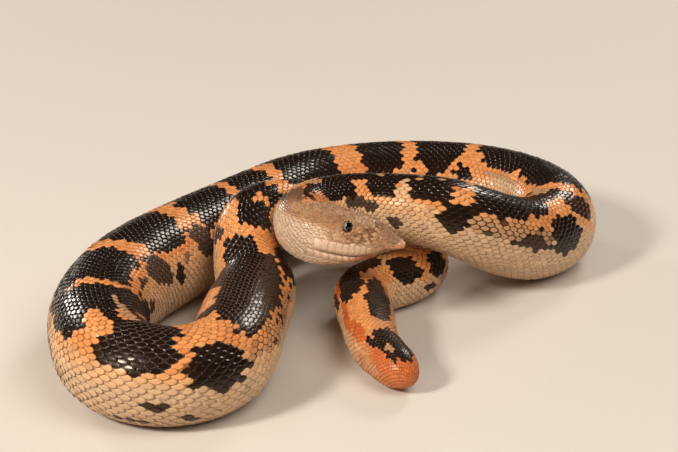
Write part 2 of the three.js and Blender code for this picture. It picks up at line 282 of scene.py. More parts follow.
# Blotches in order of painting: kind, place along the body (mm), angle from the crest (degrees), half length
# (mm), half width (degrees), and how far the blotch leans tailward for each degree. Positive angles are the
# snake's left. Saddles and checks are squarer than the other blotches.
BLOTCHES = [
    # neck
    ("umber", 29, -15, 4.5, 18, 0), ("deep", 27, 25, 7, 13, 0), ("deep", 33, 44, 4, 12, 0),
    ("brown", 29, 9, 10, 6, 0), ("dark", 34, 20, 4, 9, 0),
    ("saddle", 56, -10, 17, 26, 0), ("saddle", 41.5, 30, 6.8, 33, 0.03), ("tan", 37.8, 0, 1.9, 13, 0),
    ("grey", 49.5, 73, 6, 12, 0), ("orange", 49.3, 34, 2.1, 16, 0.03), ("orange", 54, 59, 3.2, 8, 0.15),
    ("saddle", 55.3, 24, 4.1, 30, 0), ("tan", 54.3, -6, 1.2, 9, 0), ("peach", 60.6, 40, 1.9, 28, -0.03),
    ("peach", 63, 72, 6.4, 13, 0), ("saddle", 65.8, 16, 3.9, 36, 0), ("tan", 63.5, 2, 0.7, 12, 0),
    ("tan", 67.5, -4, 0.6, 9, 0), ("orange", 71.8, 32, 1.8, 32, -0.06), ("dark", 71.5, 71, 2.8, 22, 0),
    ("grey", 60, 97, 1.6, 8, 0),
    # over the tail and down on the right
    ("saddle", 85.5, 10, 11.8, 34, 0), ("saddle", 80.5, 34, 6.6, 22, -0.05), ("brown", 101, 0, 11, 15, 0),
    ("streak", 85, 74, 11, 16, 0), ("dark", 99.8, 68, 5.3, 27, 0), ("brown", 90, 84, 5, 9, 0),
    ("orange", 101.3, 33, 3.4, 14, 0), ("orange", 107.6, 66, 1.5, 26, 0.14),
    ("brown", 109.8, 42, 4.6, 27, 0.04), ("orange", 113.5, 16, 3.6, 12, 0.06),
    ("tan", 106, -24, 6, 22, 0.12), ("orange", 111, -6, 1.6, 14, 0),
    # the long arc at the back
    ("saddle", 129.6, -2, 16.6, 36, 0), ("orange", 128, -38, 1.6, 11, 0.03), ("tan", 131, -50, 10, 6, 0),
    # The cream patch low on the right at 126 mm is a painted highlight on the flank.
    ("cream", 126, -60, 12, 8, 0), ("saddle", 156, -15, 7.6, 44, 0), ("orange", 147.3, -3, 1.6, 22, 0),
    ("orange", 146.2, -28, 3.4, 14, 0), ("dark", 147.8, -54, 2.6, 13, 0),
    ("orange", 143.6, -50, 1.6, 14, 0.05), ("orange", 152, -48, 1.3, 14, -0.11),
    ("orange", 164.2, -20, 1.7, 25, -0.045), ("orange", 162, -49, 1.3, 7, 0.15),
    ("orange", 167.6, -49, 1.3, 7, -0.15), ("saddle", 172.6, -12, 6.3, 42, 0),
    ("saddle", 196.5, -12, 10.4, 42, 0), ("orange", 182.9, -4, 3.2, 22, 0.03),
    ("orange", 182.9, -28, 4.4, 13, 0), ("saddle", 216.5, -12, 6.6, 42, 0),
    ("orange", 207.6, -8, 2.2, 24, -0.09), ("saddle", 234, -12, 9.2, 40, 0),
    ("orange", 224, -3, 1.7, 22, -0.07), ("saddle", 258, -8, 9.6, 37, 0),
    ("orange", 245.9, -4, 2.6, 22, 0), ("orange", 245.6, -28, 4.4, 9, 0), ("orange", 243.8, 19, 3, 11, 0),
    ("dark", 256.6, -44, 4.5, 10, 0), ("grey", 245.6, -58, 3, 21, 0.03),
    ("orange", 269, -4, 2.5, 30, 0), ("orange", 268.6, -30, 4, 9, 0), ("saddle", 280.4, -1, 8.8, 38, 0),
    ("grey", 269, -57, 5.2, 19, 0.03), ("grey", 265, -72, 3, 9, 0), ("dark", 258.2, -80, 2, 12, 0.03),
    ("smoke", 254, -68, 1.2, 5, 0), ("orange", 278, -46, 7, 5, 0), ("grey", 280.5, -54, 3.6, 5, 0),
    ("grey", 281, -84, 4, 8, 0.18),
    # the left-hand loop
    ("saddle", 297.8, 20, 8, 42, 0), ("saddle", 289, 50, 5, 16, 0), ("orange", 289.4, 4, 1.4, 20, -0.09),
    ("orange", 296, -27, 8.5, 8, 0.05), ("orange", 307, 20, 3.6, 15, 0), ("orange", 308.6, 42, 2.2, 12, 0),
    ("dark", 308.2, 1, 3.4, 9, 0), ("check", 317.4, 20, 6.4, 44, 0), ("tan", 305, -19, 8, 8, 0.15),
    ("brown", 320, 101, 1.6, 4, 0), ("brown", 317, 128, 3, 3, 0), ("brown", 324, 121, 1.6, 4, 0),
    # the front and the rise over the shoulder
    ("dark", 328.6, 61, 4.5, 29, 0), ("orange", 334.4, 46, 1.9, 12, 0), ("streak", 340, 62, 6, 16, 0),
    ("check", 347, 9, 12.4, 38, 0), ("check", 361, 19, 14.5, 38, 0), ("check", 371, -22, 14.4, 33, 0),
    ("orange", 329.2, 6, 4.7, 30, -0.18), ("orange", 340, -27, 7, 11, -0.2),
    ("orange", 349, -47, 9, 14, 0), ("orange", 366, 59, 8, 6, -0.2), ("streak", 354, 71, 15, 13, 0),
    ("orange", 371.5, 42, 2.6, 10, -0.35), ("dark", 376.4, 58, 5.8, 24, 0),
    ("orange", 380, 17, 4.5, 12, 0.03), ("orange", 385.8, 20, 1.5, 40, 0),
    ("orange", 388.8, -34, 4.2, 24, 0), ("grey", 387.5, -60, 2, 14, 0),
    ("saddle", 391.4, 24, 4.2, 37, 0), ("saddle", 397.6, 6, 4, 50, 0), ("orange", 395.8, 32, 1.0, 26, 0),
    ("orange", 403.6, 3, 2.9, 20, 0), ("saddle", 410, 4, 3.6, 36, 0),
    # behind the neck, out of sight
    ("orange", 415, 10, 2, 26, 0.05), ("saddle", 422, 0, 5, 40, 0), ("orange", 429, -6, 2, 28, -0.06),
    ("saddle", 436, 4, 5, 44, 0), ("orange", 443, 0, 2, 30, 0.05), ("saddle", 449.5, -4, 4.4, 42, 0),
    ("grey", 426, 62, 2.4, 12, 0), ("grey", 440, -64, 2.4, 12, 0),
    # the hook and the tail
    ("dark", 460.2, -60, 3.3, 28, 0), ("orange", 464, -35, 1.8, 50, -0.02), ("peach", 476.5, -76, 4, 14, 0),
    ("rough", 469, -46, 4.1, 33, 0), ("orange", 477, -45, 4.4, 17, 0), ("brown", 463.6, -104, 1.5, 8, 0),
    # The brown patch on the crest at 477 mm is a painted shadow under the chin, and the one low on the left at
    # 487 mm is painted shade.
    ("brown", 477, 8, 5, 24, 0), ("rough", 485.8, 31, 7, 30, 0.03), ("brown", 487, 74, 3.6, 12, 0),
    ("orange", 488.6, -4, 2.4, 16, 0.3), ("rough", 494.2, -28, 10.6, 26, 0.05), ("rough", 495, 4, 2.4, 9, 0),
    ("rough", 500.5, -4, 4.2, 8, 0), ("orange", 500, 28, 7.8, 24, 0), ("rough", 514.6, -5, 6.7, 42, 0),
    ("rough", 511, 40, 2.2, 13, 0), ("rough", 518.4, 32, 1.6, 12, 0), ("tan", 515.8, 17, 1.1, 8, 0),
    ("red", 497, 62, 6, 11, 0.1), ("red", 484.5, 60, 3, 9, 0), ("red", 505.5, 48, 3.4, 13, 0),
]

# Kinds of blotch that are more than a tone: the tone they start from, and what they do to the edges of their
# scales, where above 0 pales the free edge, partly as a painted sheen, and below 0 darkens the whole edge.
KINDS = {
    "dark": ("dark", 0.08), "saddle": ("dark", 0.08), "check": ("dark", 0.55), "rough": ("dark", 0.25),
    "streak": ("orange", -1.3),
}
SQUARISH, OVAL = 5.0, 2.4  # how square a blotch's outline is; a power of 2 is an ellipse

# The side that shows in the main view, from that place along the body on: 1 left, -1 right, 0 both. The other
# side's pattern is the seen side's, mirrored and shifted.
SEEN_SIDE = [(0, 1), (110, -1), (285, 1), (345, 0), (455, -1), (480, 0)]
PAST_CREST = 18.0  # the seen side reaches this many degrees past the crest
WAVES = [(1, 0.6), (-0.7, 1.3), (1.7, -0.9), (0.4, 1.9)]


def wobble(x, y, seed):
    """Smooth noise between about -1 and 1, from a few sines that never line up."""
    total = 0
    for k, (fx, fy) in enumerate(WAVES):
        total = total + np.sin(fx * x + fy * y + seed * (1.7 + k) + k)
    return total / 2.6


def pattern_place(s, a):
    """Where to read the blotches for a point: its own place where the seen side is, or its mirror."""
    places, sides = np.array(SEEN_SIDE).T
    side = sides[np.searchsorted(places, s + 1.5 * wobble(s * 0.2, a * 0.05, 3), side="right") - 1]
    turned = a * side
    beyond = -PAST_CREST - turned
    mirrored = -PAST_CREST + beyond * (180 + PAST_CREST) / (180 - PAST_CREST)
    unseen = (side != 0) & (beyond > 0)
    shift = 2.2 * wobble(s * 0.11, a * 0, 5) * smooth(beyond, 0, 30)
    return np.where(unseen, s + shift, s), np.where(unseen, side * mirrored, a)


def paint(s, a, tones, fine, soft):
    """Linear colour and rim of each point. fine is its own random number, and soft the blotches' edge."""
    angle = np.abs(a)
    sheet = wobble(s * 0.35, a * 0.07, 1)
    colour = np.empty(s.shape + (3,))
    rim = np.zeros(s.shape)

    def lay(tone, cover):
        colour[...] = colour + (np.array(tones[tone]) - colour) * np.clip(cover, 0, 1)[..., None]

    colour[...] = tones["orange"]
    lay("deep", 0.35 + 0.4 * sheet)
    lay("peach", smooth(angle + 8 * sheet, 48, 74))
    lay("cream", smooth(angle + 7 * sheet, 70, 92))
    lay("belly", smooth(angle, 118, 160))
    lay("peach", 0.55 * smooth(s, 462, 474) * smooth(angle, 80, 40))
    lay("red", 0.35 * smooth(s, 472, 486) * (1 - smooth(angle, 100, 140)))
    lay("peach", 0.75 * smooth(angle + 6 * sheet, 62, 78) * smooth(s, 480, 490))
    lay("red", 0.85 * smooth(s + 3 * sheet, 508, 517))
    place, turned = pattern_place(s, a)
    place = place + 0.55 * wobble(s * 1.1, a * 0.16, 7)
    turned = turned + 3.0 * wobble(s * 0.9, a * 0.13, 9)
    for kind, s0, a0, ds, da, lean in BLOTCHES:
        tone, edge_rim = KINDS.get(kind, (kind, 0.0))
        near = np.abs(place - s0) < ds + 14
        v = (turned[near] - a0) / da
        u = (place[near] - s0 - lean * (turned[near] - a0)) / ds
        power = SQUARISH if kind in ("saddle", "check") else OVAL
        reach = (np.abs(u) ** power + np.abs(v) ** power) ** (1 / power)
        edge = 1.0 + 0.06 * fine[near]
        cover = smooth(reach, edge + soft, edge - soft) if soft > 0 else (reach < edge).astype(float)
        target = np.broadcast_to(tones[tone], (int(near.sum()), 3)).copy()
        if kind == "streak":
            # Scales of one tone each: orange over the flank, sand below it, and some dark.
            target += (tones["tan"] - target) * smooth(np.abs(turned[near]), 48, 76)[:, None]
            target += (tones["dark"] - target) * smooth(fine[near], 0.5, 0.75)[:, None]
        if tone == "dark":
            # Dark blotches turn brown towards their edge.
            warm = smooth(reach, 0.75, 1.0) * 0.35 + 0.10 * fine[near]
            target += (tones["brown"] - target) * np.clip(warm, 0, 1)[:, None]
        colour[near] += (target - colour[near]) * cover[:, None]
        rim[near] += (edge_rim - rim[near]) * cover
    # Head and nape: sandy, with a darker speckle on the crown and creamy lips.
    _, rise = section(s, a)
    head = 1 - smooth(s - 0.12 * np.clip(-a, 0, 60) + 0.10 * np.clip(a, 0, 60), 20.5, 27.0)
    if np.any(head > 0):
        keep = colour.copy()
        colour[...] = tones["tan"]
        lay("peach", 0.55 * smooth(angle, 40, 80) * smooth(s, 12, 17))
        lay("smoke", 0.6 * hill((s - 27.5) / 3.2, (a + 42) / 16))
        lay("umber", (0.22 + 0.16 * wobble(s * 1.3, a * 0.12, 11)) * (1 - 0.7 * smooth(angle, 40, 75)))
        lay("umber", 0.35 * (1 - smooth(s, 8, 12)) * (0.7 + 0.5 * wobble(s * 2.2, a * 0.15, 4)))
        lay("umber", 0.5 * (fine > 0.5) * (1 - smooth(angle, 60, 95)) * (1 - smooth(s, 19, 23)))
        lay("deep", 0.28 * smooth(-fine, 0.1, 0.7) * (1 - smooth(angle, 55, 85)) * smooth(s, 3, 7))
        lip = rise - mouth(s)
        # Dark pits in front of the eye and under it, between paler scales.
        pits = smooth(lip, 2.6, 3.6) * smooth(rise, 4.8, 3.6) * smooth(s, 4, 6) * (1 - smooth(s, 12.5, 15))
        lay("peach", 0.5 * pits * (fine < -0.25))
        lay("umber", 0.8 * pits * (fine > 0.1) * (fine < 0.75))
        lay("brown", 0.55 * pits * (fine > 0.62))
        # Pale lips, cheek and throat. The cheek behind the eye is painted paler on both sides, partly as a
        # painted highlight.
        lay("lip", smooth(lip, 4.6, 2.2) * smooth(angle, 50, 75) * smooth(s, 4, 12) * 0.85)
        lay("lip", smooth(lip, 7.5, 4.5) * smooth(angle, 42, 60) * smooth(s, 14.5, 18) * 0.75)
        lay("lip", smooth(angle, 100, 125) * 0.9)
        # A warm front to the lower lip, darkened partly as painted shade under the snout's overhang, a dark
        # mark over the eye, a pale one behind it, and painted shade along the mouth's groove.
        lay("red", 0.7 * smooth(lip, 0.1, -0.4) * smooth(lip, -2.4, -1.4) * (1 - smooth(s, 9, 13)))
        lay("umber", 0.5 * hill((s - 14.2) / 1.4, (rise - 5.7) / 0.7))
        lay("lip", 0.7 * hill((s - 14.4) / 0.9, (rise - 2.6) / 0.8) * (0.7 + fine))
        lay("brown", 0.85 * hill(lip / 0.2) * (1 - smooth(s, 17.5, 18.5)))
        colour[...] = keep + (colour - keep) * head[..., None]
        rim[...] = rim * (1 - head)
    return colour, rim


# ---- meshes ----


def new_object(name, points, faces, attributes=(), uv=None, material=None):
    """A mesh object at the origin, from points in millimetres, with attributes (name, type, values)."""
    mesh = bpy.data.meshes.new(name)
    mesh.from_pydata((np.asarray(points) * MM).tolist(), [], faces)
    for label, kind, values in attributes:
        layer = mesh.attributes.new(label, kind, "POINT")
        key = {"FLOAT": "value", "INT": "value", "FLOAT_COLOR": "color"}.get(kind, "vector")
        number = np.int32 if kind == "INT" else np.float32
        layer.data.foreach_set(key, np.ascontiguousarray(values, number).ravel())
    if uv is not None:
        mesh.uv_layers.new(name="OFBake").data.foreach_set("uv", np.asarray(uv, np.float32).ravel())
    if faces:
        mesh.polygons.foreach_set("use_smooth", [True] * len(mesh.polygons))
    if material:
        mesh.materials.append(material)
    mesh.update()
    made = bpy.data.objects.new(name, mesh)
    bpy.context.scene.collection.objects.link(made)
    return made


def rgba(colour):
    """Opaque colours, from a list of three numbers each."""
    return np.concatenate([colour, np.ones(colour.shape[:-1] + (1,))], axis=-1)


def remove(*objects):
    """Takes mesh objects away, with their meshes."""
    for o in objects:
        data = o.data
        bpy.data.objects.remove(o)
        bpy.data.meshes.remove(data)


PLATE_DEPTH = 0.12  # least thickness of a plate, and how deep its underside lies in the skin at least
PLATE_ROOT = 0.05


class Shells:
    """Gathers closed plates, each a grid over the skin with its rim sunk into it, into one mesh."""

    def __init__(self):
        self.points, self.faces, self.uv = [], [], []
        self.colour, self.rim, self.plate = [], [], []
        self.count = 0

    def add(self, s, a, height, colour, rim=0.0, front=1.0):
        """Closes a plate over the skin. s, a and height are grids of equal shape, whose second axis runs to
        the left of the first, seen from outside."""
        under = on_body(s, a, np.minimum(height - PLATE_DEPTH, -PLATE_ROOT))
        self.close(on_body(s, a, height), under, s.mean(), a.mean(), colour, rim, front)

    def close(self, top, under, s, a, colour, rim=0.0, front=1.0):
        """Joins two grids of points into one closed plate rooted at s and a. front is how far its first row
        counts as an edge."""
        rows, columns = top.shape[:2]
        top, under = top.reshape(-1, 3), under.reshape(-1, 3)
        n = rows * columns
        index = np.arange(n).reshape(rows, columns)
        quads = np.stack([index[:-1, :-1], index[:-1, 1:], index[1:, 1:], index[1:, :-1]], -1).reshape(-1, 4)
        border = np.concatenate([index[0, :], index[1:, -1], index[-1, -2::-1], index[-2:0:-1, 0]])
        following = np.roll(border, -1)
        walls = np.stack([following, border, border + n, following + n], axis=-1)
        faces = np.concatenate([quads, quads[:, ::-1] + n, walls]) + self.count
        self.points += [top, under]
        self.faces += faces.tolist()
        self.count += 2 * n
        root = unwrap(np.array([s]), arc_at(np.array([s]), np.array([a])))[0]
        u, v = np.meshgrid(np.linspace(-1, 1, rows), np.linspace(-1, 1, columns), indexing="ij")
        patch = root + np.stack([u, v], -1).reshape(-1, 2) * PATCH / 2
        patch = np.concatenate([patch, patch])
        self.uv.append(patch[(faces - self.count + 2 * n).ravel()])
        self.colour.append(rgba(np.broadcast_to(colour, (2 * n, 3))))
        self.rim.append(np.full(2 * n, rim))
        edge = np.maximum(np.maximum(u, -u * front), np.abs(v)).ravel()
        plate = np.stack([u.ravel() / 2, v.ravel() / 2, edge], -1)
        self.plate.append(np.concatenate([plate, plate]))

    def build(self, name, material):
        """One object of all the plates closed so far."""
        layers = [
            ("coat_colour", "FLOAT_COLOR", np.concatenate(self.colour)),
            ("coat_rim", "FLOAT", np.concatenate(self.rim)),
            ("plate", "FLOAT_VECTOR", np.concatenate(self.plate)),
        ]
        points, uv = np.concatenate(self.points), np.concatenate(self.uv)
        return new_object(name, points, self.faces, layers, uv, material)


# ---- nodes ----


def add(tree, kind, inputs=(), out=None, **settings):
    """Adds a node, sets its properties, and links or fills its inputs, given by name or number. Gives back
    the node, or the one output asked for."""
    made = tree.nodes.new(kind)
    for name, value in settings.items():
        setattr(made, name, value)
    for key, value in dict(inputs).items():
        socket = made.inputs[key]
        if isinstance(value, bpy.types.NodeSocket):
            tree.links.new(value, socket)
        else:
            socket.default_value = value
    return made if out is None else made.outputs[out]


# Inputs of a colour mix, and of a map range.
SHARE, FIRST, SECOND = 0, 6, 7
VALUE, LOW, HIGH, TO_LOW, TO_HIGH = range(5)
BLEND = {"out": 2, "data_type": "RGBA"}
EASED = {"out": 0, "interpolation_type": "SMOOTHSTEP"}


def shader_tree(name):
    material = bpy.data.materials.new(name)
    material.use_nodes = True
    material.node_tree.nodes.clear()
    return material, material.node_tree


def scale_keratin(name, tones):
    """Snake scale: smooth, glossy keratin over pigment. Its free edge is thinner and so a little paler or
    darker than the middle, the paler edge partly a painted sheen, and a fine grain breaks up its shine."""
    material, tree = shader_tree(name)
    place = add(tree, "ShaderNodeTexCoord", out="Object")
    colour = add(tree, "ShaderNodeAttribute", out="Color", attribute_name="coat_colour")
    rim = add(tree, "ShaderNodeAttribute", out="Fac", attribute_name="coat_rim")
    plate = add(tree, "ShaderNodeAttribute", out="Vector", attribute_name="plate")
    axes = add(tree, "ShaderNodeSeparateXYZ", {0: plate}).outputs
    edge = add(tree, "ShaderNodeMapRange", {VALUE: axes["Z"], LOW: 0.66, HIGH: 0.94}, **EASED)
    ahead = add(tree, "ShaderNodeMapRange", {VALUE: axes["X"], LOW: -0.15, HIGH: 0.2}, **EASED)
    free = add(tree, "ShaderNodeMath", {0: edge, 1: ahead}, 0, operation="MULTIPLY")
    # The free edge of a dark scale is paled: partly the thinner keratin's own colour, partly a painted sheen.
    worn = add(tree, "ShaderNodeMath", {0: rim, 1: 0.0}, 0, operation="MAXIMUM")
    pale = add(tree, "ShaderNodeMath", {0: free, 1: worn}, 0, operation="MULTIPLY")
    below = add(tree, "ShaderNodeMath", {0: rim, 1: 0.0}, 0, operation="MINIMUM")
    dusk = add(tree, "ShaderNodeMath", {0: edge, 1: below}, 0, operation="MULTIPLY")
    dusk = add(tree, "ShaderNodeMath", {0: dusk, 1: -1.0}, 0, operation="MULTIPLY")
    # Pigment is never even: cells about 0.4 mm across. The line round each scale gets a little painted shade.
    cells = add(tree, "ShaderNodeTexNoise", {"Vector": place, "Scale": 2500.0, "Detail": 2.0}, "Fac")
    uneven = add(tree, "ShaderNodeMapRange", {VALUE: cells, LOW: 0.3, HIGH: 0.7, TO_HIGH: 0.22}, **EASED)
    seam_shade = add(tree, "ShaderNodeMapRange", {VALUE: axes["Z"], LOW: 0.86, HIGH: 1.0, TO_HIGH: 0.12}, **EASED)
    for share, over in ((uneven, linear("#271910")), (pale, tones["silver"]), (dusk, tones["dark"]),
                        (seam_shade, linear("#3F2B1D"))):
        colour = add(tree, "ShaderNodeMix", {SHARE: share, FIRST: colour, SECOND: (*over, 1)}, **BLEND)
    light = add(tree, "ShaderNodeRGBToBW", {0: colour}, 0)
    roughness = add(tree, "ShaderNodeMapRange",
                    {VALUE: light, LOW: 0.02, HIGH: 0.35, TO_LOW: 0.24, TO_HIGH: 0.28}, **EASED)
    # Grain of the keratin, about 0.12 mm.
    grain = add(tree, "ShaderNodeTexNoise", {"Vector": place, "Scale": 8000.0, "Detail": 1.0}, "Fac")
    bump = add(tree, "ShaderNodeBump", {"Height": grain, "Strength": 0.12, "Distance": 0.00005}, "Normal")
    surface = add(tree, "ShaderNodeBsdfPrincipled", {
        "Base Color": colour, "Roughness": roughness, "Normal": bump, "IOR": 1.45, "Specular IOR Level": 0.48,
        "Specular Tint": (*linear("#FFF1DF"), 1),
    }, "BSDF")
    add(tree, "ShaderNodeOutputMaterial", {"Surface": surface})
    return material


def soft_skin(name):
    """The skin between the scales: thin, matt, a little darker than the scales over it, with wrinkles about
    0.25 mm apart."""
    material, tree = shader_tree(name)
    place = add(tree, "ShaderNodeTexCoord", out="Object")
    colour = add(tree, "ShaderNodeAttribute", out="Color", attribute_name="coat_colour")
    folds = add(tree, "ShaderNodeTexNoise", {"Vector": place, "Scale": 4000.0, "Detail": 3.0}, "Fac")
    depth = add(tree, "ShaderNodeMapRange", {VALUE: folds, LOW: 0.35, HIGH: 0.65, TO_HIGH: 0.2}, **EASED)
    for share, over in ((0.15, linear("#593C29")), (depth, linear("#271D19"))):
        colour = add(tree, "ShaderNodeMix", {SHARE: share, FIRST: colour, SECOND: (*over, 1)}, **BLEND)
    bump = add(tree, "ShaderNodeBump", {"Height": folds, "Strength": 0.4, "Distance": 0.0001}, "Normal")
    surface = add(tree, "ShaderNodeBsdfPrincipled", {
        "Base Color": colour, "Roughness": 0.6, "Normal": bump, "IOR": 1.45,
    }, "BSDF")
    add(tree, "ShaderNodeOutputMaterial", {"Surface": surface})
    return material


def wet_eye(name):
    """A snake's eye under its fixed clear scale: a wide black pupil in a grey-brown iris, and a hard gloss."""
    material, tree = shader_tree(name)
    look = add(tree, "ShaderNodeAttribute", out="Vector", attribute_name="look")
    fading = {TO_LOW: 1.0, TO_HIGH: 0.0}
    # The pupil is an ellipse set a little forward of the middle.
    shape = {"Vector": look, "Location": (-0.33, 0, 0), "Scale": (1.67, 1.09, 0)}
    offset = add(tree, "ShaderNodeMapping", shape, 0)
    spread = add(tree, "ShaderNodeVectorMath", {0: offset}, "Value", operation="LENGTH")
    pupil = add(tree, "ShaderNodeMapRange", {VALUE: spread, LOW: 0.92, HIGH: 1.05, **fading}, **EASED)
    flecks = add(tree, "ShaderNodeTexNoise", {"Vector": look, "Scale": 9.0, "Detail": 3.0}, "Fac")
    pale, deep = (*linear("#A89683"), 1), (*linear("#5F4A36"), 1)
    colour = add(tree, "ShaderNodeMix", {SHARE: flecks, FIRST: deep, SECOND: pale}, **BLEND)
    # Dark round the iris, and black in the pupil.
    front = add(tree, "ShaderNodeSeparateXYZ", {0: look}, "Z")
    limb = add(tree, "ShaderNodeMapRange", {VALUE: front, LOW: 0.3, HIGH: 0.55, **fading}, **EASED)
    for share, over in ((limb, linear("#1D1612")), (pupil, linear("#0D0A0A"))):
        colour = add(tree, "ShaderNodeMix", {SHARE: share, FIRST: colour, SECOND: (*over, 1)}, **BLEND)
    surface = add(tree, "ShaderNodeBsdfPrincipled", {
        "Base Color": colour, "Roughness": 0.08, "IOR": 1.38, "Coat Weight": 0.25, "Coat Roughness": 0.03,
    }, "BSDF")
    add(tree, "ShaderNodeOutputMaterial", {"Surface": surface})
    return material


def studio_floor(name, colour):
    """Matt painted board with a faint tooth."""
    material, tree = shader_tree(name)
    place = add(tree, "ShaderNodeTexCoord", out="Object")
    tooth = add(tree, "ShaderNodeTexNoise", {"Vector": place, "Scale": 900.0, "Detail": 2.0}, "Fac")
    share = add(tree, "ShaderNodeMapRange", {VALUE: tooth, LOW: 0.3, HIGH: 0.7, TO_HIGH: 0.05}, **EASED)
    board, worn = (*colour, 1), (*linear("#BCB8B3"), 1)
    shade = add(tree, "ShaderNodeMix", {SHARE: share, FIRST: board, SECOND: worn}, **BLEND)
    surface = add(tree, "ShaderNodeBsdfPrincipled", {"Base Color": shade, "Roughness": 0.8}, "BSDF")
    add(tree, "ShaderNodeOutputMaterial", {"Surface": surface})
    return material


# ---- the coat's geometry nodes ----

# Half the outline of one scale, from its free tip to its root, as shares of its length and width.
SCALE_OUTLINE = [(0.50, 0.0), (0.455, 0.16), (0.34, 0.34), (0.12, 0.48), (-0.18, 0.45), (-0.50, 0.20)]


def scale_plate(name, keel):
    """One closed scale of unit length and width: domed, root sunk, tip raised, with a keel that high."""
    outline = np.array(SCALE_OUTLINE + [(x, -y) for x, y in SCALE_OUTLINE[:0:-1]])
    n = len(outline)
    inner = outline * (0.62, 0.60) + (0.01, 0)

    def ride_height(xy, dome):
        """Height over the skin: under it at the root, rising to the tip, and lower at the sides."""
        return -0.45 + (xy[:, 0] + 0.5) * 1.15 - 0.5 * np.abs(xy[:, 1]) + dome

    crown = np.array([(0.0, 0.0)])
    ridge = keel * np.where(np.abs(inner[:, 1]) < 0.02, 1.0, 0.0)
    points = np.vstack([
        np.column_stack([outline, ride_height(outline, 0)]),
        np.column_stack([inner, ride_height(inner, 0.30) + ridge]),
        np.column_stack([crown, ride_height(crown, 0.38) + keel]),
        [(0, 0, -0.75)],
    ])
    faces = []
    for k in range(n):
        following = (k + 1) % n
        faces += [(k, following, n + following, n + k), (n + k, n + following, 2 * n)]
        faces.append((following, k, 2 * n + 1))
    edge = np.concatenate([np.ones(n), np.full(n, 0.6), [0, 1]])
    plate = np.column_stack([points[:, :2], edge])
    return new_object(name, points / MM, faces, [("plate", "FLOAT_VECTOR", plate)])


# What only the seed of a scale carries: its directions, size and place on the unwrap, and 0 for smooth or 1
# for keeled.
SEED_LAYERS = {
    "out": "FLOAT_VECTOR", "along": "FLOAT_VECTOR", "size": "FLOAT_VECTOR", "root_uv": "FLOAT_VECTOR",
    "form": "INT",
}


def coat_tree():
    """Geometry nodes that lay one scale on each seed point, along its own directions and at its own size."""
    tree = bpy.data.node_groups.new("scale_coat", "GeometryNodeTree")
    for label, kind in (("Geometry", "Geometry"), ("Smooth scale", "Object"), ("Keeled scale", "Object"),
                        ("Thickness", "Float"), ("Patch", "Float"), ("Material", "Material")):
        tree.interface.new_socket(label, in_out="INPUT", socket_type="NodeSocket" + kind)
    tree.interface.new_socket("Geometry", in_out="OUTPUT", socket_type="NodeSocketGeometry")
    given = add(tree, "NodeGroupInput").outputs
    read = {}
    for label, kind in {**SEED_LAYERS, "plate": "FLOAT_VECTOR"}.items():
        read[label] = add(tree, "GeometryNodeInputNamedAttribute", {"Name": label}, "Attribute",
                          data_type=kind)

    turn = add(tree, "FunctionNodeAxesToRotation", {0: read["out"], 1: read["along"]}, 0,
               primary_axis="Z", secondary_axis="X")
    spread = add(tree, "ShaderNodeSeparateXYZ", {0: read["size"]}).outputs
    thick = add(tree, "ShaderNodeMath", {0: spread["Z"], 1: given["Thickness"]}, 0, operation="MULTIPLY")
    size = add(tree, "ShaderNodeCombineXYZ", {0: spread["X"], 1: spread["Y"], 2: thick}, 0)
    joined = add(tree, "GeometryNodeJoinGeometry")
    for form, label in enumerate(("Smooth scale", "Keeled scale")):
        chosen = add(tree, "FunctionNodeCompare", {2: read["form"], 3: form}, 0, data_type="INT",
                     operation="EQUAL")
        shape = add(tree, "GeometryNodeObjectInfo", {"Object": given[label]}, "Geometry")
        laid = add(tree, "GeometryNodeInstanceOnPoints", {
            "Points": given["Geometry"], "Selection": chosen, "Instance": shape, "Rotation": turn,
            "Scale": size,
        }, 0)
        tree.links.new(laid, joined.inputs[0])
    solid = add(tree, "GeometryNodeRealizeInstances", {0: joined.outputs[0]}, 0)
    offset = {0: read["plate"], "Scale": given["Patch"]}
    offset = add(tree, "ShaderNodeVectorMath", offset, 0, operation="SCALE")
    patch = add(tree, "ShaderNodeVectorMath", {0: read["root_uv"], 1: offset}, 0, operation="ADD")
    stored = {"Geometry": solid, "Name": "OFBake", "Value": patch}
    stored = add(tree, "GeometryNodeStoreNamedAttribute", stored, 0, data_type="FLOAT2", domain="CORNER")
    final = add(tree, "GeometryNodeSetMaterial", {"Geometry": stored, "Material": given["Material"]}, 0)
    add(tree, "NodeGroupOutput", {0: final})
    return tree


def grow(seeds, tree, values):
    """Runs the tree on the seeds and gives back its result as a plain mesh object, in place of the seeds."""
    modifier = seeds.modifiers.new("coat", "NODES")
    modifier.node_group = tree
    for item in tree.interface.items_tree:
        if item.item_type == "SOCKET" and item.in_out == "INPUT" and item.name in values:
            modifier[item.identifier] = values[item.name]
    bpy.context.view_layer.update()
    graph = bpy.context.evaluated_depsgraph_get()
    grown = seeds.evaluated_get(graph)
    mesh = bpy.data.meshes.new_from_object(grown, preserve_all_data_layers=True, depsgraph=graph)
    made = bpy.data.objects.new(seeds.name.replace("seeds_", ""), mesh)
    mesh.name = made.name
    bpy.context.scene.collection.objects.link(made)
    for layer in SEED_LAYERS:
        if layer in mesh.attributes:
            mesh.attributes.remove(mesh.attributes[layer])
    remove(seeds)
    if not len(mesh.polygons) or "OFBake" not in mesh.uv_layers:
        raise RuntimeError(f"{made.name} came out of the scale tree with no faces or no OFBake map")
    return made


# ---- what a user would change ----


def colour_property(label, code, description):
    """A colour that a user can change, from its sRGB hex."""
    return FloatVectorProperty(name=label, description=description, subtype="COLOR", size=3, min=0, max=1,
                               default=linear(code))


